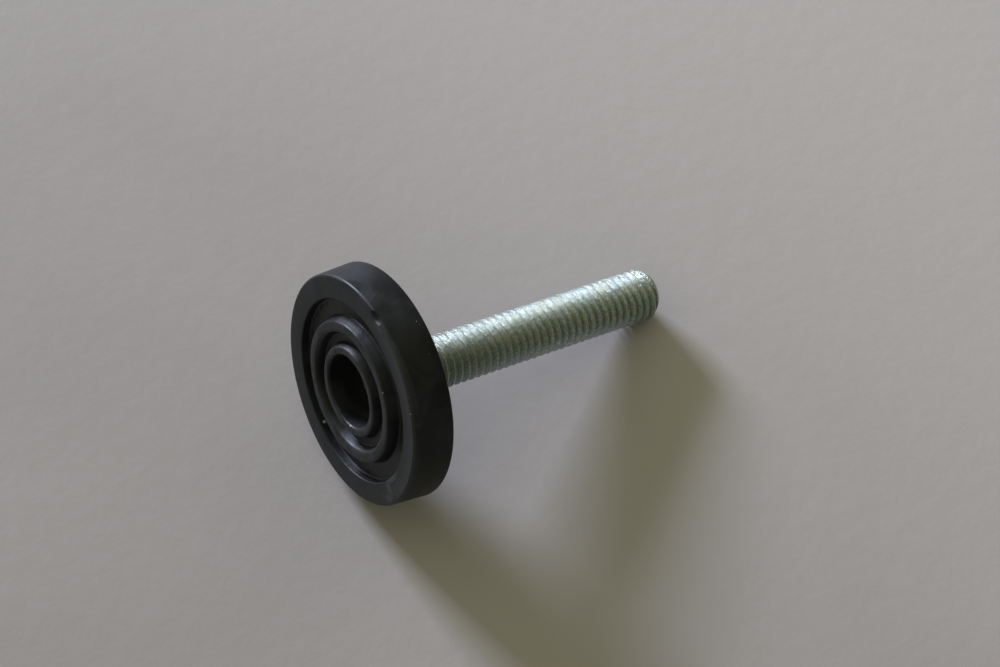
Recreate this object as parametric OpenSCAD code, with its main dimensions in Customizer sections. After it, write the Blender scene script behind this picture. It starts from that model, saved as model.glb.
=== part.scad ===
// Leveling foot: a round moulded base with a threaded steel stud held in its hub.
// It stands on the two rings under the base, with the stud pointing straight up.

/* [Base] */
// Widest diameter of the base, at the top of its rim
base_d = 35.4; // [34:0.1:40]
// Diameter of the base where its wall starts, above the lower edge
base_low_d = 34.8; // [33:0.1:35.4]
// Height of the rim above the floor
rim_h = 6.7; // [5:0.1:7]
// Rounding of the lower outer edge
low_edge_r = 0.5; // [0.2:0.05:1]
// Rounding of the upper outer edge
top_edge_r = 0.35; // [0.1:0.05:0.8]

/* [Underside] */
// Inner diameter of the flat outer land
land_in_d = 28.1; // [26:0.1:29]
// How far the land sits above the floor
land_lift = 0.55; // [0.3:0.05:0.8]
// Rounding of the land's inner edge
land_edge_r = 0.2; // [0.1:0.05:0.5]
// Diameter of the middle rib, at the middle of its crest
rib_d = 19.6; // [19:0.05:21]
// Diameter of the ring round the middle hole, at the middle of its crest
ring_d = 12.25; // [12:0.05:13]
// Width of the rib over its crest
rib_w = 1.6; // [1.5:0.05:1.8]
// Width of the ring over its crest
ring_w = 1.25; // [1.1:0.05:1.6]
// Rounding of the crests
crest_r = 0.4; // [0.1:0.05:0.5]
// Rounding of the rib's crest on its inner side
rib_round_r = 0.65; // [0.1:0.05:0.8]
// Height of the outer groove's floor
outer_groove_h = 1.85; // [1.4:0.05:2]
// Height of the inner groove's floor
inner_groove_h = 1.5; // [1.3:0.05:2]
// Width that each flank gains from crest to floor
flank_draft = 0.5; // [0:0.05:0.6]

/* [Hub] */
// Outer diameter of the low cone on top of the rim
cone_d = 32.8; // [30:0.1:33.6]
// Diameter at the foot of the hub
hub_low_d = 18.6; // [18:0.1:20]
// Diameter at the shoulder of the hub
hub_d = 17.2; // [16.8:0.1:18]
// Diameter of the hub's flat top
hub_top_d = 12.4; // [10:0.1:14]
// Height of the cone's upper end above the floor
cone_top_h = 9.6; // [8.8:0.1:10.2]
// Height of the hub's shoulder above the floor
hub_shoulder_h = 10.9; // [10.8:0.1:11.2]
// Height of the hub's top above the floor
hub_h = 11.9; // [11.6:0.1:13]

/* [Stud] */
// Nominal diameter of the metric thread
thread_d = 8; // [7:0.1:8.4]
// Pitch of the thread
thread_pitch = 1.25; // [0.8:0.05:1.5]
// Number of full turns of thread
thread_turns = 32; // [8:1:60]
// Height at which the thread starts above the floor
thread_start_h = 12.15; // [12:0.05:16]
// Length of the plain tapered end of the stud
tip_l = 1.35; // [0.8:0.05:2]
// Diameter of the stud's end face
tip_d = 6; // [4:0.1:6.2]
// Diameter of the plain neck between the head and the thread
neck_d = 7.2; // [6:0.1:7.6]
// Width across the flats of the head inside the hub
head_af = 13; // [11.5:0.1:13]
// Thickness of the head inside the hub
head_h = 5.3; // [3:0.1:5.3]

/* [Hidden] */

// Facets of the round surfaces
$fn = 36;
// Steps of each rounded edge
arc_steps = 6;

base_r = base_d / 2;
base_low_r = base_low_d / 2;
land_out_r = base_low_r - low_edge_r;
land_in_r = land_in_d / 2;
// Foot of the land's inner wall, which has less draft than the flanks
wall_foot_r = land_in_r - land_edge_r - flank_draft / 3;

// The head sits under the hub's shoulder, and the hole below it is a little narrower
head_top_h = hub_shoulder_h - 0.1;
head_low_h = head_top_h - head_h;
hole_r = (ring_d - ring_w) / 2;
ring_outer_r = (ring_d + ring_w) / 2;
rib_inner_r = (rib_d - rib_w) / 2;
rib_outer_r = (rib_d + rib_w) / 2;

thread_r = thread_d / 2;
// Depth and flats of the ISO metric thread form
thread_depth = 0.6134 * thread_pitch;
crest_flat = thread_pitch / 8;
flank_run = thread_depth * tan(30);
root_r = thread_r - thread_depth;
thread_end_h = thread_start_h + thread_turns * thread_pitch;
stud_h = thread_end_h + tip_l;

// Points of an arc about a centre, from angle a0 to angle a1
function arc(centre, r, a0, a1) =
    [for (i = [0:arc_steps]) let (a = a0 + (a1 - a0) * i / arc_steps)
        centre + r * [cos(a), sin(a)]];

// Crest between an inner and an outer radius, each side with its own rounding
function crest(in_r, out_r, in_round, out_round) = concat(
    arc([in_r + in_round, in_round], in_round, 180, 270),
    arc([out_r - out_round, out_round], out_round, 270, 360)
);

// Underside of the base, from the middle hole out to the land's inner edge
function underside() = concat(
    crest(hole_r, ring_outer_r, crest_r, crest_r),
    [[ring_outer_r + flank_draft, inner_groove_h]],
    [[rib_inner_r - flank_draft, inner_groove_h]],
    crest(rib_inner_r, rib_outer_r, rib_round_r, crest_r),
    [[rib_outer_r + flank_draft, outer_groove_h]],
    [[wall_foot_r, outer_groove_h]],
    arc([land_in_r, land_lift + land_edge_r], land_edge_r, 180, 270)
);

// Wall, rim and upper side, from the land's outer edge in to the stud
function upper_side() = concat(
    arc([land_out_r, land_lift + low_edge_r], low_edge_r, 270, 360),
    arc([base_r - top_edge_r, rim_h - top_edge_r], top_edge_r, 0, 90),
    [
        [cone_d / 2, rim_h],
        [hub_low_d / 2, cone_top_h],
        [hub_d / 2, hub_shoulder_h],
        [hub_top_d / 2, hub_h],
        [neck_d / 2, hub_h],
        [neck_d / 2, head_low_h],
        [hole_r, head_low_h]
    ]
);

// Hexagonal head that keeps the stud from turning in the moulding
module head() {
    translate([0, 0, head_low_h])
        cylinder(h = head_h, d = head_af / cos(30), $fn = 6);
}

// Moulded base with the pocket that holds the stud's head
module base() {
    color("#28292b")
        difference() {
            rotate_extrude()
                polygon(concat(underside(), upper_side()));
            head();
        }
}

// One turn of the thread's section, drawn as a ring: crest, flank, root, flank
function thread_turn(z) = [
    [thread_r, z],
    [thread_r, z + crest_flat],
    [root_r, z + crest_flat + flank_run],
    [root_r, z + thread_pitch - flank_run]
];

// Outline of the threaded length and the tapered end
function stud_outline() = concat(
    [[0, head_top_h], [neck_d / 2, head_top_h], [neck_d / 2, thread_start_h]],
    [for (i = [0:thread_turns - 1], p = thread_turn(thread_start_h + i * thread_pitch)) p],
    [
        [thread_r, thread_end_h],
        [thread_r, thread_end_h + crest_flat],
        [tip_d / 2, stud_h],
        [0, stud_h]
    ]
);

// Threaded stud with its head
module stud() {
    color("#b9bfc2") {
        head();
        rotate_extrude()
            polygon(stud_outline());
    }
}

base();
stud();
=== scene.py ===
import math

import bpy
from mathutils import Matrix, Vector


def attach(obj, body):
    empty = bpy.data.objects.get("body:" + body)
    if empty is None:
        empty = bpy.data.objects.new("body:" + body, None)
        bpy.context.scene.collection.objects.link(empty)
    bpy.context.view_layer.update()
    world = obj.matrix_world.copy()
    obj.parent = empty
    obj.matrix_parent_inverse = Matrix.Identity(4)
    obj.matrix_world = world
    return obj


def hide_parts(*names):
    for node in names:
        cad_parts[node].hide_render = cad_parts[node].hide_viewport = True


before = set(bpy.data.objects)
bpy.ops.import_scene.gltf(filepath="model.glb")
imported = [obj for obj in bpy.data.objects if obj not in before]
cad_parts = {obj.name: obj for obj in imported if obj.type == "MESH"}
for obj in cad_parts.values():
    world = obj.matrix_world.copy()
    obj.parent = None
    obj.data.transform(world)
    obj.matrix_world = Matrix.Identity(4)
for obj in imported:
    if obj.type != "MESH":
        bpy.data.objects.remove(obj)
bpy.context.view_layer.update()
print("frame loaded")

mm = 0.001  # one millimetre in metres
cornerMerge = 0.002 * mm  # corners closer than this are one corner
sliverMerge = 0.0005 * mm  # the same, after a Boolean
sliverEdge = 0.001 * mm  # an edge shorter than this closes up
cutMerge = 0.004 * mm  # corners this near a cut are put on it


# Selecting and applying

def startFresh():
    if bpy.context.object and bpy.context.object.mode != "OBJECT":
        bpy.ops.object.mode_set(mode="OBJECT")
    bpy.ops.object.select_all(action="DESELECT")


def makeActive(piece):
    startFresh()
    piece.select_set(True)
    bpy.context.view_layer.objects.active = piece


def applyModifier(piece, modifier):
    makeActive(piece)
    bpy.ops.object.modifier_apply(modifier=modifier.name)


def combine(piece, other, operation):
    boolean = piece.modifiers.new("combine", "BOOLEAN")
    boolean.operation = operation
    boolean.solver = "EXACT"
    boolean.object = other
    applyModifier(piece, boolean)
    bpy.data.objects.remove(other)
    bpy.ops.object.mode_set(mode="EDIT")
    bpy.ops.mesh.select_all(action="SELECT")
    bpy.ops.mesh.remove_doubles(threshold=sliverMerge)
    bpy.ops.mesh.dissolve_degenerate(threshold=sliverEdge)
    bpy.ops.object.mode_set(mode="OBJECT")


# Camera, sheet and light

cameraFacts = {
    "azimuth": 74.02,
    "elevation": -29.32,  # the foot is looked at from below its base
    "roll": 71.62,
    "distance": 401.2 * mm,
    "aim": Vector((10.69, -4.21, 20.36)) * mm,
    "lens": 100.8,
    "sensorWidth": 36,
    "clipStart": 0.01,
}


def makeCamera(facts):
    azimuth = math.radians(facts["azimuth"])
    elevation = math.radians(facts["elevation"])
    back = Vector((
        math.sin(azimuth) * math.cos(elevation),
        -math.cos(azimuth) * math.cos(elevation),
        math.sin(elevation),
    ))
    bpy.ops.object.camera_add(location=facts["aim"] + back * facts["distance"])
    camera = bpy.context.object
    camera.name = "camera"
    camera.data.sensor_width = facts["sensorWidth"]
    camera.data.lens = facts["lens"]
    camera.data.clip_start = facts["clipStart"]
    camera.rotation_mode = "QUATERNION"
    level = (-back).to_track_quat("-Z", "Y")
    roll = Matrix.Rotation(math.radians(facts["roll"]), 3, "Z").to_quaternion()
    camera.rotation_quaternion = level @ roll
    bpy.context.scene.camera = camera


startFresh()
makeCamera(cameraFacts)
print("camera placed")

# The foot leans on a pale sheet that touches its rim and the end of its stud
sheetFacts = {
    "normal": Vector((0.6761, -0.6761, -0.2928)),
    "touch": Vector((-12.52, 12.52, 6.7)) * mm,
    "size": 1.6,
    "colour": (0.4, 0.395, 0.395, 1),
    "darkColour": (0.365, 0.36, 0.36, 1),
    "paintedLightColour": (0.53, 0.525, 0.53, 1),
    "paintedLightSide": Vector((0.173, -0.734, 0.657)),
    "paintedLightSpan": (-20 * mm, 110 * mm),  # painted light: the sheet is painted lighter between these
    "patches": {"Scale": 14.0, "Low": 0.3, "High": 0.75},
    "roughness": 0.7,
    "shine": 0.25,
    "grainScale": 260.0,
    "grainBump": (0.12, 0.6 * mm),  # each bump is its strength and its depth
}

windowFacts = {
    "towards": Vector((-0.475, -0.857, -0.202)),
    "distance": 3.0,
    "width": 0.8,
    "height": 0.62,
    "power": 129,
    "colour": (0.8, 0.81, 1.0),
}

# Two soft glows over a dim room, and a plain backdrop that only the camera sees
roomFacts = {
    "bright": {
        "side": Vector((0.35, -0.72, -0.6)),
        "start": 0.0,
        "colour": (0.5, 0.46, 0.31, 1),
    },
    "soft": {
        "side": Vector((0.45, -0.2, 0.87)),
        "start": 0.1,
        "colour": (0.06, 0.06, 0.045, 1),
    },
    "dimColour": (0.05, 0.05, 0.036, 1),
    "backdropColour": (0.33, 0.325, 0.32, 1),
}


def makeWindow(facts):
    towards = facts["towards"].normalized()
    # its long side is level with the sheet
    across = sheetFacts["normal"].cross(towards).normalized()
    bpy.ops.object.light_add(type="AREA", location=towards * facts["distance"])
    lamp = bpy.context.object
    lamp.name = "window"
    lamp.rotation_mode = "QUATERNION"
    axes = Matrix((across, towards.cross(across), towards)).transposed()
    lamp.rotation_quaternion = axes.to_quaternion()
    lamp.data.shape = "RECTANGLE"
    lamp.data.size = facts["width"]
    lamp.data.size_y = facts["height"]
    lamp.data.energy = facts["power"]
    lamp.data.color = facts["colour"]


def addGlow(tree, coordinates, glow):
    facing = tree.nodes.new("ShaderNodeVectorMath")
    facing.operation = "DOT_PRODUCT"
    facing.inputs[1].default_value = glow["side"].normalized()
    ramp = tree.nodes.new("ShaderNodeMapRange")
    ramp.interpolation_type = "SMOOTHSTEP"
    ramp.inputs["From Min"].default_value = glow["start"]
    ramp.inputs["From Max"].default_value = 1
    background = tree.nodes.new("ShaderNodeBackground")
    background.inputs["Color"].default_value = glow["colour"]
    tree.links.new(coordinates.outputs["Generated"], facing.inputs[0])
    tree.links.new(facing.outputs["Value"], ramp.inputs["Value"])
    tree.links.new(ramp.outputs["Result"], background.inputs["Strength"])
    return background


def makeRoom(facts):
    world = bpy.data.worlds.new("room")
    bpy.context.scene.world = world
    world.use_nodes = True
    tree = world.node_tree
    coordinates = tree.nodes.new("ShaderNodeTexCoord")
    dim = tree.nodes["Background"]
    dim.inputs["Color"].default_value = facts["dimColour"]
    bright = addGlow(tree, coordinates, facts["bright"])
    soft = addGlow(tree, coordinates, facts["soft"])
    twoGlows = tree.nodes.new("ShaderNodeAddShader")
    tree.links.new(bright.outputs[0], twoGlows.inputs[0])
    tree.links.new(soft.outputs[0], twoGlows.inputs[1])
    room = tree.nodes.new("ShaderNodeAddShader")
    tree.links.new(twoGlows.outputs[0], room.inputs[0])
    tree.links.new(dim.outputs[0], room.inputs[1])
    backdrop = tree.nodes.new("ShaderNodeBackground")
    backdrop.inputs["Color"].default_value = facts["backdropColour"]
    path = tree.nodes.new("ShaderNodeLightPath")
    mix = tree.nodes.new("ShaderNodeMixShader")
    tree.links.new(path.outputs["Is Camera Ray"], mix.inputs[0])
    tree.links.new(room.outputs[0], mix.inputs[1])
    tree.links.new(backdrop.outputs[0], mix.inputs[2])
    tree.links.new(mix.outputs[0], tree.nodes["World Output"].inputs["Surface"])


startFresh()
makeWindow(windowFacts)
makeRoom(roomFacts)
bpy.context.scene.view_settings.view_transform = "Standard"
print("lights placed")


# Effects shared by the materials

def newGroup(name, settings, result):
    group = bpy.data.node_groups.new(name, "ShaderNodeTree")
    group.interface.new_socket("Vector", in_out="INPUT", socket_type="NodeSocketVector")
    for setting in settings:
        group.interface.new_socket(setting, in_out="INPUT", socket_type="NodeSocketFloat")
    group.interface.new_socket(result, in_out="OUTPUT", socket_type="NodeSocketFloat")
    return group, group.nodes.new("NodeGroupInput"), group.nodes.new("NodeGroupOutput")


def makeGrainGroup():
    group, given, result = newGroup("fineGrain", ["Scale"], "Height")
    noise = group.nodes.new("ShaderNodeTexNoise")
    noise.inputs["Detail"].default_value = 4
    noise.inputs["Roughness"].default_value = 0.6
    group.links.new(given.outputs["Vector"], noise.inputs["Vector"])
    group.links.new(given.outputs["Scale"], noise.inputs["Scale"])
    group.links.new(noise.outputs["Fac"], result.inputs["Height"])
    return group


def makePatchGroup():
    group, given, result = newGroup("softPatches", ["Scale", "Low", "High"], "Mask")
    noise = group.nodes.new("ShaderNodeTexNoise")
    noise.inputs["Detail"].default_value = 3
    noise.inputs["Distortion"].default_value = 0.6
    ramp = group.nodes.new("ShaderNodeMapRange")
    ramp.interpolation_type = "SMOOTHSTEP"
    group.links.new(given.outputs["Vector"], noise.inputs["Vector"])
    group.links.new(given.outputs["Scale"], noise.inputs["Scale"])
    group.links.new(noise.outputs["Fac"], ramp.inputs["Value"])
    group.links.new(given.outputs["Low"], ramp.inputs["From Min"])
    group.links.new(given.outputs["High"], ramp.inputs["From Max"])
    group.links.new(ramp.outputs["Result"], result.inputs["Mask"])
    return group


def makeSpeckGroup():
    # a spot in the middle of each cell, kept where the cell's own colour is over Share
    group, given, result = newGroup("fineSpecks", ["Scale", "Size", "Share"], "Mask")
    cells = group.nodes.new("ShaderNodeTexVoronoi")
    near = group.nodes.new("ShaderNodeMath")
    near.operation = "LESS_THAN"
    chosen = group.nodes.new("ShaderNodeMath")
    chosen.operation = "GREATER_THAN"
    both = group.nodes.new("ShaderNodeMath")
    both.operation = "MULTIPLY"
    parts = group.nodes.new("ShaderNodeSeparateColor")
    group.links.new(given.outputs["Vector"], cells.inputs["Vector"])
    group.links.new(given.outputs["Scale"], cells.inputs["Scale"])
    group.links.new(cells.outputs["Distance"], near.inputs[0])
    group.links.new(given.outputs["Size"], near.inputs[1])
    group.links.new(cells.outputs["Color"], parts.inputs[0])
    group.links.new(parts.outputs[0], chosen.inputs[0])
    group.links.new(given.outputs["Share"], chosen.inputs[1])
    group.links.new(near.outputs[0], both.inputs[0])
    group.links.new(chosen.outputs[0], both.inputs[1])
    group.links.new(both.outputs[0], result.inputs["Mask"])
    return group


fineGrain = makeGrainGroup()
softPatches = makePatchGroup()
fineSpecks = makeSpeckGroup()


def useGroup(material, group, vector, **values):
    node = material.node_tree.nodes.new("ShaderNodeGroup")
    node.node_tree = group
    node.label = group.name
    material.node_tree.links.new(vector, node.inputs["Vector"])
    for name, value in values.items():
        node.inputs[name].default_value = value
    return node.outputs[0]


def calculate(material, operation, first, second):
    node = material.node_tree.nodes.new("ShaderNodeMath")
    node.operation = operation
    for socket, value in zip(node.inputs, (first, second)):
        if isinstance(value, (int, float)):
            socket.default_value = value
        else:
            material.node_tree.links.new(value, socket)
    return node.outputs[0]


def mixColours(material, factor, first, second):
    node = material.node_tree.nodes.new("ShaderNodeMix")
    node.data_type = "RGBA"
    material.node_tree.links.new(factor, node.inputs["Factor"])
    for name, value in (("A", first), ("B", second)):
        if isinstance(value, tuple):
            node.inputs[name].default_value = value
        else:
            material.node_tree.links.new(value, node.inputs[name])
    return node.outputs["Result"]


def rampValue(material, value, fromMin, fromMax, toMin, toMax):
    node = material.node_tree.nodes.new("ShaderNodeMapRange")
    node.interpolation_type = "SMOOTHSTEP"
    material.node_tree.links.new(value, node.inputs["Value"])
    node.inputs["From Min"].default_value = fromMin
    node.inputs["From Max"].default_value = fromMax
    node.inputs["To Min"].default_value = toMin
    node.inputs["To Max"].default_value = toMax
    return node.outputs["Result"]


def addBump(material, height, strength, distance, normal=None):
    node = material.node_tree.nodes.new("ShaderNodeBump")
    node.inputs["Strength"].default_value = strength
    node.inputs["Distance"].default_value = distance
    material.node_tree.links.new(height, node.inputs["Height"])
    if normal:
        material.node_tree.links.new(normal, node.inputs["Normal"])
    return node.outputs["Normal"]


def newMaterial(name):
    material = bpy.data.materials.new(name)
    material.use_nodes = True
    coordinates = material.node_tree.nodes.new("ShaderNodeTexCoord")
    return material, material.node_tree.nodes["Principled BSDF"], coordinates.outputs["Object"]


def distanceFromAxis(material, place):
    flat = material.node_tree.nodes.new("ShaderNodeVectorMath")
    flat.operation = "MULTIPLY"
    flat.inputs[1].default_value = (1, 1, 0)
    radius = material.node_tree.nodes.new("ShaderNodeVectorMath")
    radius.operation = "LENGTH"
    material.node_tree.links.new(place, flat.inputs[0])
    material.node_tree.links.new(flat.outputs[0], radius.inputs[0])
    return radius.outputs["Value"]


def separate(material, place):
    parts = material.node_tree.nodes.new("ShaderNodeSeparateXYZ")
    material.node_tree.links.new(place, parts.inputs[0])
    return parts.outputs["X"], parts.outputs["Y"], parts.outputs["Z"]


def placeEllipse(material, vector, centre, turn, size, softness):
    # centre and half sizes in mm, turn in degrees
    mapping = material.node_tree.nodes.new("ShaderNodeMapping")
    mapping.vector_type = "TEXTURE"
    mapping.inputs["Location"].default_value = Vector(centre) * mm
    mapping.inputs["Rotation"].default_value = (0, 0, math.radians(turn))
    mapping.inputs["Scale"].default_value = Vector(size) * mm
    length = material.node_tree.nodes.new("ShaderNodeVectorMath")
    length.operation = "LENGTH"
    material.node_tree.links.new(vector, mapping.inputs["Vector"])
    material.node_tree.links.new(mapping.outputs["Vector"], length.inputs[0])
    return rampValue(material, length.outputs["Value"], 1 - softness, 1, 1, 0)


# Pale sheet

def makeSheetMaterial(facts):
    material, shader, place = newMaterial("paleSheet")
    links = material.node_tree.links
    patches = useGroup(material, softPatches, place, **facts["patches"])
    colour = mixColours(material, patches, facts["colour"], facts["darkColour"])
    # Painted light: the colour grows lighter towards one side, where the window's light and sheen fall
    # brighter
    turn = facts["normal"].to_track_quat("Z", "Y")
    along = material.node_tree.nodes.new("ShaderNodeVectorMath")
    along.operation = "DOT_PRODUCT"
    along.inputs[1].default_value = turn.inverted() @ facts["paintedLightSide"]
    links.new(place, along.inputs[0])
    paintedLight = rampValue(material, along.outputs["Value"], *facts["paintedLightSpan"], 0, 1)
    links.new(mixColours(material, paintedLight, colour, facts["paintedLightColour"]), shader.inputs["Base Color"])
    shader.inputs["Roughness"].default_value = facts["roughness"]
    shader.inputs["Specular IOR Level"].default_value = facts["shine"]
    grain = useGroup(material, fineGrain, place, Scale=facts["grainScale"])
    links.new(addBump(material, grain, *facts["grainBump"]), shader.inputs["Normal"])
    geometry = material.node_tree.nodes.new("ShaderNodeNewGeometry")
    clear = material.node_tree.nodes.new("ShaderNodeBsdfTransparent")
    mix = material.node_tree.nodes.new("ShaderNodeMixShader")
    links.new(geometry.outputs["Backfacing"], mix.inputs[0])
    links.new(shader.outputs[0], mix.inputs[1])
    links.new(clear.outputs[0], mix.inputs[2])
    links.new(mix.outputs[0], material.node_tree.nodes["Material Output"].inputs["Surface"])
    return material


def makeSheet(facts):
    bpy.ops.mesh.primitive_plane_add(size=facts["size"])
    sheet = bpy.context.object
    sheet.name = "paleSheet"
    sheet.rotation_mode = "QUATERNION"
    sheet.rotation_quaternion = facts["normal"].to_track_quat("Z", "Y")
    sheet.location = facts["touch"]
    sheet.data.materials.append(makeSheetMaterial(facts))


startFresh()
makeSheet(sheetFacts)
print("sheet placed")


# Black plastic

plasticFacts = {
    "colour": (0.006, 0.0072, 0.0084, 1),
    "smudgeColour": (0.018, 0.021, 0.024, 1),
    "sheenColour": (0.86, 0.95, 1, 1),
    "wearAndSheenColour": (0.055, 0.06, 0.063, 1),
    "dustColour": (0.42, 0.44, 0.44, 1),
    "smudges": {"Scale": 170.0, "Low": 0.38, "High": 0.72},
    "wearAndSheenRadii": (14.4 * mm, 16.8 * mm),  # the wear and the painted sheen come in between these
    "wearAndSheenHeights": (0.6 * mm, 1.0 * mm),  # and fades out between these
    "wearAndSheenX": (1 * mm, 6 * mm),
    "wearAndSheenY": (-12.3 * mm, -11.3 * mm),
    "wearAndSheenWeight": 0.4,
    "wornRoughness": 0.25,
    "raggedScale": 900.0,
    "raggedDepth": 0.9 * mm,
    "rubbedHeights": (0.02 * mm, 0.14 * mm),
    "rubbedPatches": {"Scale": 420.0, "Low": 0.35, "High": 0.6},
    "rubbedWeight": 0.35,
    "scuffWeight": 0.75,
    "softness": 0.6,  # how much of a mark is its faded border
    "dust": {"Scale": 620.0, "Size": 0.1, "Share": 0.97},
    "dustWeight": 0.1,
    "speckTurn": 30,
    "speckWidth": 0.7,
    "roughness": (0.42, 0.56),
    "shine": 0.3,
    "grainScale": 2600.0,
    "unevenScale": 420.0,
    "unevenBump": (0.5, 0.12 * mm),
    "grainBump": (0.3, 0.03 * mm),
    "scuffBump": (0.5, 0.12 * mm),
    "specks": [  # place in mm, radius in mm
        ((16.7, -1.24, 0.55), 0.2),
        ((16.39, 1.14, 0.55), 0.14),
        ((-12.05, 6.64, 1.36), 0.34),
        ((-1.69, 5.35, 0.15), 0.2),
        ((0.1, 5.45, 0.2), 0.14),
        ((10.4, -1.3, 0.1), 0.14),
        ((14.05, -10.66, 5.5), 0.1),
        ((14.35, -10.2, 5.7), 0.08),
        ((16.5, -6.3, 5.2), 0.1),
    ],
    "scuffs": [  # centre in mm, turn in degrees, half sizes in mm
        ((6.0, 14.1, 0.55), 68, (2.0, 1.0, 1.0)),
        ((7.4, 12.2, 0.55), 150, (2.4, 0.7, 1.0)),
        ((5.4, 15.6, 0.55), 5, (1.3, 0.8, 1.0)),
        ((12.3, -10.6, 1.2), 49, (1.7, 0.9, 1.5)),
    ],
}


def makeBlackPlastic(facts):
    material, shader, place = newMaterial("blackPlastic")
    links = material.node_tree.links
    smudges = useGroup(material, softPatches, place, **facts["smudges"])
    colour = mixColours(material, smudges, facts["colour"], facts["smudgeColour"])

    # Worn stretch of the outer edge with painted sheen: a band round the edge, on one side, with a
    # ragged border, painted lighter both for wear and for the sheen on that side
    x, y, z = separate(material, place)
    ragged = useGroup(material, fineGrain, place, Scale=facts["raggedScale"])
    ragged = calculate(material, "MULTIPLY", ragged, facts["raggedDepth"])
    raggedRadius = calculate(material, "ADD", distanceFromAxis(material, place), ragged)
    band = calculate(
        material, "MULTIPLY",
        rampValue(material, raggedRadius, *facts["wearAndSheenRadii"], 0, 1),
        rampValue(material, z, *facts["wearAndSheenHeights"], 1, 0),
    )
    side = calculate(
        material, "MULTIPLY",
        rampValue(material, y, *facts["wearAndSheenY"], 0, 1),
        rampValue(material, x, *facts["wearAndSheenX"], 0, 1),
    )
    wearAndSheenBand = calculate(material, "MULTIPLY", band, side)
    wearAndSheen = calculate(material, "MULTIPLY", wearAndSheenBand, facts["wearAndSheenWeight"])
    # Crests that rub on the floor
    rubbed = calculate(
        material, "MULTIPLY",
        rampValue(material, z, *facts["rubbedHeights"], facts["rubbedWeight"], 0),
        useGroup(material, softPatches, place, **facts["rubbedPatches"]),
    )
    wearAndSheen = calculate(material, "MAXIMUM", wearAndSheen, rubbed)
    scuffed = 0.0
    for centre, turn, size in facts["scuffs"]:
        patch = placeEllipse(material, place, centre, turn, size, facts["softness"])
        scuffed = calculate(material, "MAXIMUM", patch, scuffed)
    scuffs = calculate(material, "MULTIPLY", scuffed, facts["scuffWeight"])
    wearAndSheen = calculate(material, "MAXIMUM", wearAndSheen, scuffs)
    # the lighter colour mixed in here is wear, and on the one-sided band also painted sheen
    colour = mixColours(material, wearAndSheen, colour, facts["wearAndSheenColour"])

    dust = useGroup(material, fineSpecks, place, **facts["dust"])
    dust = calculate(material, "MULTIPLY", dust, facts["dustWeight"])
    for centre, size in facts["specks"]:
        halves = (size, size * facts["speckWidth"], size)
        speck = placeEllipse(material, place, centre, facts["speckTurn"], halves, facts["softness"])
        dust = calculate(material, "MAXIMUM", dust, speck)
    links.new(mixColours(material, dust, colour, facts["dustColour"]), shader.inputs["Base Color"])

    roughness = rampValue(material, smudges, 0, 1, *facts["roughness"])
    wornRoughness = calculate(material, "MULTIPLY", wearAndSheen, facts["wornRoughness"])
    links.new(calculate(material, "ADD", roughness, wornRoughness), shader.inputs["Roughness"])
    shader.inputs["Specular IOR Level"].default_value = facts["shine"]
    shader.inputs["Specular Tint"].default_value = facts["sheenColour"]
    grain = useGroup(material, fineGrain, place, Scale=facts["grainScale"])
    unevenness = useGroup(material, fineGrain, place, Scale=facts["unevenScale"])
    normal = addBump(material, unevenness, *facts["unevenBump"])
    normal = addBump(material, grain, *facts["grainBump"], normal)
    normal = addBump(material, scuffed, *facts["scuffBump"], normal)
    links.new(normal, shader.inputs["Normal"])
    return material


# Zinc-plated steel

zincFacts = {
    "colour": (0.48, 0.58, 0.56, 1),
    "blueColour": (0.43, 0.56, 0.62, 1),
    "strawColour": (0.52, 0.56, 0.44, 1),
    "rootShadeColour": (0.32, 0.37, 0.29, 1),
    "dullColour": (0.24, 0.28, 0.23, 1),
    "brightColour": (0.85, 0.92, 0.86, 1),
    "rootShadeRadii": (3.25 * mm, 3.8 * mm),  # the painted shade in the root fades out between these
    "blue": {"Scale": 520.0, "Low": 0.42, "High": 0.62},
    "straw": {"Scale": 830.0, "Low": 0.5, "High": 0.68},
    "metallic": 0.82,
    "streakLength": 1.6 * mm,
    "streakScale": 5200.0,
    "grainScale": 4200.0,
    "coarseScale": 1100.0,
    "dullStreaks": (0.38, 0.62),
    "dullWeight": 0.75,
    "brightGrains": (0.52, 0.68),
    "brightWeight": 0.6,
    "roughPatches": (0.35, 0.65),
    "roughness": (0.28, 0.44),
    "coarseBump": (1.0, 0.1 * mm),
    "streakBump": (1.0, 0.1 * mm),
    "grainBump": (1.0, 0.06 * mm),
}


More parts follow.
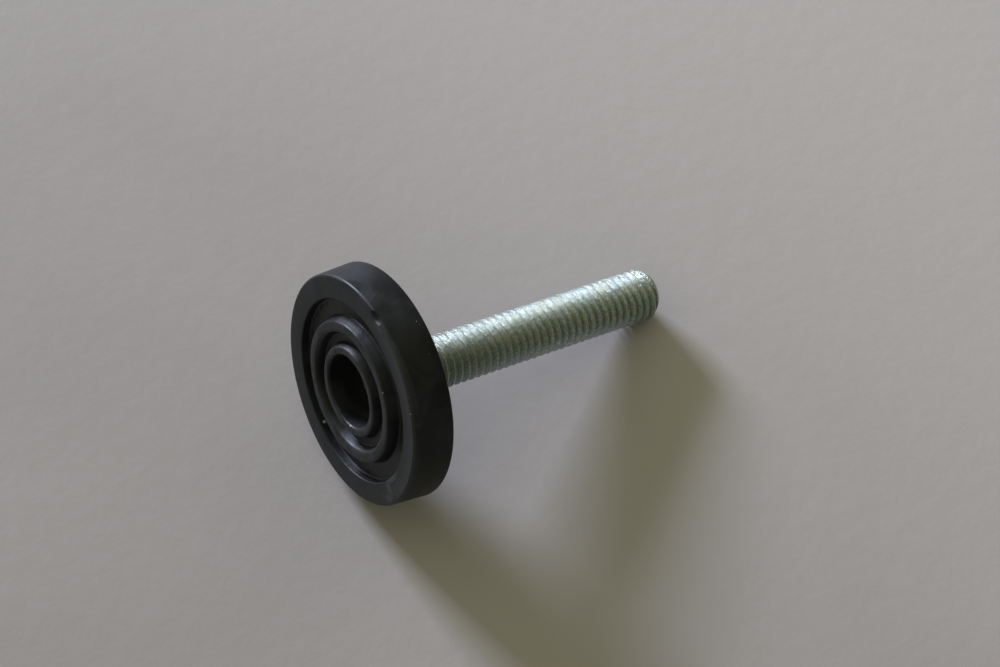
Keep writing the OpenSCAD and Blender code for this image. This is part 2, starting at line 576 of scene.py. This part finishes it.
def makeZincSteel(facts):
    material, shader, place = newMaterial("zincSteel")
    links = material.node_tree.links
    blue = useGroup(material, softPatches, place, **facts["blue"])
    straw = useGroup(material, softPatches, place, **facts["straw"])
    colour = mixColours(material, blue, facts["colour"], facts["blueColour"])
    colour = mixColours(material, straw, colour, facts["strawColour"])
    radius = distanceFromAxis(material, place)
    # Painted shade: the thread's roots are painted darker where the crests shade them
    root = rampValue(material, radius, *facts["rootShadeRadii"], 1, 0)
    colour = mixColours(material, root, colour, facts["rootShadeColour"])
    shader.inputs["Metallic"].default_value = facts["metallic"]

    # Rolling leaves fine streaks that run round the thread
    x, y, z = separate(material, place)
    angle = calculate(material, "ARCTAN2", y, x)
    around = material.node_tree.nodes.new("ShaderNodeCombineXYZ")
    links.new(calculate(material, "MULTIPLY", angle, facts["streakLength"]), around.inputs["X"])
    links.new(z, around.inputs["Y"])
    links.new(radius, around.inputs["Z"])
    streaks = useGroup(material, fineGrain, around.outputs[0], Scale=facts["streakScale"])
    grain = useGroup(material, fineGrain, place, Scale=facts["grainScale"])
    coarse = useGroup(material, fineGrain, place, Scale=facts["coarseScale"])
    dull = rampValue(material, streaks, *facts["dullStreaks"], 1, 0)
    dull = calculate(material, "MULTIPLY", dull, facts["dullWeight"])
    bright = rampValue(material, grain, *facts["brightGrains"], 0, 1)
    bright = calculate(material, "MULTIPLY", bright, facts["brightWeight"])
    colour = mixColours(material, dull, colour, facts["dullColour"])
    colour = mixColours(material, bright, colour, facts["brightColour"])
    links.new(colour, shader.inputs["Base Color"])
    roughness = rampValue(material, coarse, *facts["roughPatches"], *facts["roughness"])
    links.new(roughness, shader.inputs["Roughness"])
    normal = addBump(material, coarse, *facts["coarseBump"])
    normal = addBump(material, streaks, *facts["streakBump"], normal)
    normal = addBump(material, grain, *facts["grainBump"], normal)
    links.new(normal, shader.inputs["Normal"])
    return material


blackPlastic = makeBlackPlastic(plasticFacts)
zincSteel = makeZincSteel(zincFacts)
print("materials made")


# Drawing a section and turning it

def drawSection(name, points):
    startFresh()
    bpy.ops.mesh.primitive_plane_add(size=mm)
    piece = bpy.context.object
    piece.name = name
    bpy.ops.object.mode_set(mode="EDIT")
    bpy.ops.mesh.select_mode(type="VERT")
    bpy.ops.mesh.select_all(action="SELECT")
    bpy.ops.mesh.merge(type="CENTER")  # one corner left, drawn out along the section
    here = Vector((0, 0, 0))
    for number, (r, z) in enumerate(points):
        there = Vector((r, 0, z)) * mm
        if number == 0:
            bpy.ops.transform.translate(value=there - here)
        else:
            bpy.ops.mesh.extrude_region_move(TRANSFORM_OT_translate={"value": there - here})
        here = there
    bpy.ops.object.mode_set(mode="OBJECT")
    return piece


def closeMesh():
    bpy.ops.mesh.select_all(action="SELECT")
    bpy.ops.mesh.remove_doubles(threshold=cornerMerge)
    bpy.ops.mesh.normals_make_consistent(inside=False)


def spinSection(piece, steps):
    makeActive(piece)
    bpy.ops.object.mode_set(mode="EDIT")
    bpy.ops.mesh.select_all(action="SELECT")
    bpy.ops.mesh.spin(steps=steps, angle=math.radians(360), center=(0, 0, 0), axis=(0, 0, 1))
    closeMesh()
    bpy.ops.object.mode_set(mode="OBJECT")


def arcPoints(centre, radius, fromDegrees, toDegrees, steps):
    points = []
    for step in range(steps + 1):
        angle = math.radians(fromDegrees + (toDegrees - fromDegrees) * step / steps)
        points.append((centre[0] + radius * math.cos(angle), centre[1] + radius * math.sin(angle)))
    return points


def roundedPath(corners, steps=6):
    # each corner is its radius, its height and its rounding
    points = []
    for number, (r, z, rounding) in enumerate(corners):
        if rounding == 0:
            points.append((r, z))
            continue
        here = Vector((r, z))
        before = (Vector(corners[number - 1][:2]) - here).normalized()
        after = (Vector(corners[number + 1][:2]) - here).normalized()
        half = before.angle(after) / 2
        centre = here + (before + after).normalized() * rounding / math.sin(half)
        start = here + before * rounding / math.tan(half) - centre
        finish = here + after * rounding / math.tan(half) - centre
        sweep = start.angle_signed(finish)
        for step in range(steps + 1):
            points.append(tuple(centre + Matrix.Rotation(-sweep * step / steps, 2) @ start))
    return points


def finishPiece(piece, name, material, node, smoothAngle):
    piece.name = name
    piece.data.name = name
    makeActive(piece)
    bpy.ops.object.transform_apply(location=True, rotation=True, scale=True)
    bpy.ops.object.shade_smooth_by_angle(angle=math.radians(smoothAngle))
    piece.data.materials.clear()
    piece.data.materials.append(material)
    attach(piece, "root")
    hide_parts(node)


# Threaded stud, in millimetres

studFacts = {
    "radius": 4.0,
    "pitch": 1.25,
    "threadDepth": 0.6134,  # this, the root's rounding and the crest's flat are in pitches
    "rootRound": 0.1443,
    "crestFlat": 0.125,
    "crestRound": 0.05,
    "threadStart": 12.0,  # just above the hub
    "tipStart": 52.306,
    "tipRadius": 3.0,
    "end": 53.5,
    "neckRadius": 3.6,
    "neckLow": 6.5,
    "neckTop": 12.1,
    "headAcrossFlats": 13.0,
    "headLow": 5.5,
    "headTop": 10.8,
    "stepsPerTurn": 72,
    "smoothAngle": 35,
}


def threadSection(facts, low):
    # one pitch, from the middle of a root to the middle of the next
    pitch, crestRound = facts["pitch"], facts["crestRound"]
    rootRound = facts["rootRound"] * pitch
    rootCentre = facts["radius"] - facts["threadDepth"] * pitch + rootRound
    crestCentre = facts["radius"] - crestRound
    crestHalf = facts["crestFlat"] * pitch / 2 - crestRound * math.tan(math.radians(30))
    middle = low + pitch / 2
    points = arcPoints((rootCentre, low), rootRound, 180, 120, 2)
    points += arcPoints((crestCentre, middle - crestHalf), crestRound, -60, 0, 2)
    points += arcPoints((crestCentre, middle + crestHalf), crestRound, 0, 60, 2)
    points += arcPoints((rootCentre, low + pitch), rootRound, 240, 180, 2)
    return points


def makeThread(facts):
    low = facts["headTop"] - 1.5 * facts["pitch"]
    thread = drawSection("thread", threadSection(facts, low))
    screw = thread.modifiers.new("turns", "SCREW")
    screw.axis = "Z"
    screw.angle = math.radians(360)
    screw.screw_offset = facts["pitch"] * mm
    screw.iterations = math.ceil((facts["end"] - low) / facts["pitch"]) + 1
    screw.steps = facts["stepsPerTurn"]
    screw.render_steps = facts["stepsPerTurn"]
    applyModifier(thread, screw)
    bpy.ops.object.mode_set(mode="EDIT")
    bpy.ops.mesh.select_all(action="SELECT")
    bpy.ops.mesh.remove_doubles(threshold=cornerMerge)
    bpy.ops.mesh.select_all(action="DESELECT")
    bpy.ops.mesh.select_mode(type="EDGE")
    bpy.ops.mesh.select_non_manifold()
    bpy.ops.mesh.edge_face_add()  # both open ends
    bpy.ops.mesh.select_mode(type="VERT")
    bpy.ops.mesh.select_all(action="SELECT")
    bpy.ops.mesh.bisect(
        plane_co=(0, 0, facts["threadStart"] * mm),
        plane_no=(0, 0, 1),
        use_fill=True,
        clear_inner=True,
        threshold=cutMerge,
    )
    closeMesh()
    bpy.ops.object.mode_set(mode="OBJECT")
    return thread


def turnHalfStep(piece, facts):
    # its edges then miss the thread's own, which keeps the Booleans clean
    piece.rotation_euler.z = math.radians(180 / facts["stepsPerTurn"])


def makeEnvelope(facts):
    clear = 0.05  # room outside the crests, so that only the tip is cut
    slope = (facts["end"] - facts["tipStart"]) / (facts["radius"] - facts["tipRadius"])
    envelope = drawSection("envelope", [
        (0, facts["headTop"]),
        (facts["radius"] + clear, facts["headTop"]),
        (facts["radius"] + clear, facts["tipStart"] - clear * slope),
        (facts["tipRadius"], facts["end"]),
        (0, facts["end"]),
    ])
    spinSection(envelope, facts["stepsPerTurn"])
    turnHalfStep(envelope, facts)
    return envelope


def makeHead(facts):
    height = facts["headTop"] - facts["headLow"]
    halfCorner = math.radians(30)
    startFresh()
    bpy.ops.mesh.primitive_cylinder_add(
        vertices=6,
        radius=facts["headAcrossFlats"] / 2 / math.cos(halfCorner) * mm,
        depth=height * mm,
        location=(0, 0, (facts["headLow"] + height / 2) * mm),
        rotation=(0, 0, halfCorner),
    )
    return bpy.context.object


def makeStud(facts):
    stud = makeThread(facts)
    combine(stud, makeEnvelope(facts), "INTERSECT")
    neck = drawSection("neck", [
        (0, facts["neckLow"]),
        (facts["neckRadius"], facts["neckLow"]),
        (facts["neckRadius"], facts["neckTop"]),
        (0, facts["neckTop"]),
    ])
    spinSection(neck, facts["stepsPerTurn"])
    turnHalfStep(neck, facts)
    combine(stud, neck, "UNION")
    combine(stud, makeHead(facts), "UNION")
    return stud


# Moulded base, in millimetres

baseFacts = {
    "corners": [
        (5.5, 8, 0),
        (5.5, 0, 0.5), (6.75, 0, 0.4),  # ring round the hole
        (7.25, 1.5, 0.3), (8.5, 1.5, 0.3),  # inner groove
        (9.0, 0, 0.75), (10.6, 0, 0.4),  # rib
        (11.1, 1.85, 0.35), (13.7, 1.85, 0.25),  # outer groove
        (13.85, 0.55, 0.2), (17.35, 0.55, 0.5),  # land
        (17.7, 6.7, 0.35), (16.4, 6.7, 0.3),  # wall and rim
        (9.3, 9.6, 0.6), (8.6, 10.9, 0.3), (6.2, 11.9, 0.2),  # cone and hub
        (3.6, 11.9, 0), (3.6, 8, 0), (5.5, 8, 0),  # bore for the neck, then the hole again
    ],
    "steps": 240,
    "wornEdge": [
        (18.0, 0.1), (18.0, 0.56), (18.3, 0.72), (19.4, 1.9), (20.2, 1.9), (20.2, 0.1), (18.0, 0.1),
    ],
    "wornShift": 1.6,  # the wear is deepest on one side and fades round the edge
    "wornSide": 10,  # degrees round the foot
    "nickPlace": (11.9, -12.45, 0.25),
    "nickSize": (1.0, 1.5, 0.8),  # half sizes
    "nickTurn": -46,
    "waviness": 0.12,
    "wavinessMiddle": 0.7,
    "wavinessSize": 2.5,
    "wavyBelow": 2.2,
    "wavyInside": 13.5,
    "smoothAngle": 30,
}


def makeWornEdge(facts):
    edge = drawSection("wornEdge", facts["wornEdge"])
    spinSection(edge, facts["steps"])
    side = math.radians(facts["wornSide"])
    edge.location = Vector((-math.cos(side), -math.sin(side), 0)) * facts["wornShift"] * mm
    return edge


def makeNick(facts):
    startFresh()
    bpy.ops.mesh.primitive_ico_sphere_add(
        subdivisions=4,
        radius=mm,
        location=Vector(facts["nickPlace"]) * mm,
        rotation=(0, 0, math.radians(facts["nickTurn"])),
        scale=facts["nickSize"],
    )
    return bpy.context.object


def makeWavy(piece, facts):
    # A moulding's crests are never quite true
    underside = piece.vertex_groups.new(name="underside")
    low, inside = facts["wavyBelow"] * mm, facts["wavyInside"] * mm
    corners = piece.data.vertices
    chosen = [corner.index for corner in corners if corner.co.z < low and corner.co.xy.length < inside]
    underside.add(chosen, 1, "REPLACE")
    clouds = bpy.data.textures.new("clouds", "CLOUDS")
    clouds.noise_scale = facts["wavinessSize"] * mm
    wave = piece.modifiers.new("waviness", "DISPLACE")
    wave.texture = clouds
    wave.texture_coords = "LOCAL"
    wave.vertex_group = underside.name
    wave.strength = facts["waviness"] * mm
    wave.mid_level = facts["wavinessMiddle"]
    applyModifier(piece, wave)
    piece.vertex_groups.clear()


def makeBase(facts):
    base = drawSection("base", roundedPath(facts["corners"]))
    spinSection(base, facts["steps"])
    makeWavy(base, facts)
    combine(base, makeWornEdge(facts), "DIFFERENCE")
    combine(base, makeNick(facts), "DIFFERENCE")
    combine(base, makeHead(studFacts), "DIFFERENCE")  # the head is moulded in
    return base


base = makeBase(baseFacts)
print("base modelled,", len(base.data.polygons), "faces")
finishPiece(base, "moulded_base", blackPlastic, "base", baseFacts["smoothAngle"])

stud = makeStud(studFacts)
print("stud modelled,", len(stud.data.polygons), "faces")
finishPiece(stud, "threaded_stud", zincSteel, "stud", studFacts["smoothAngle"])
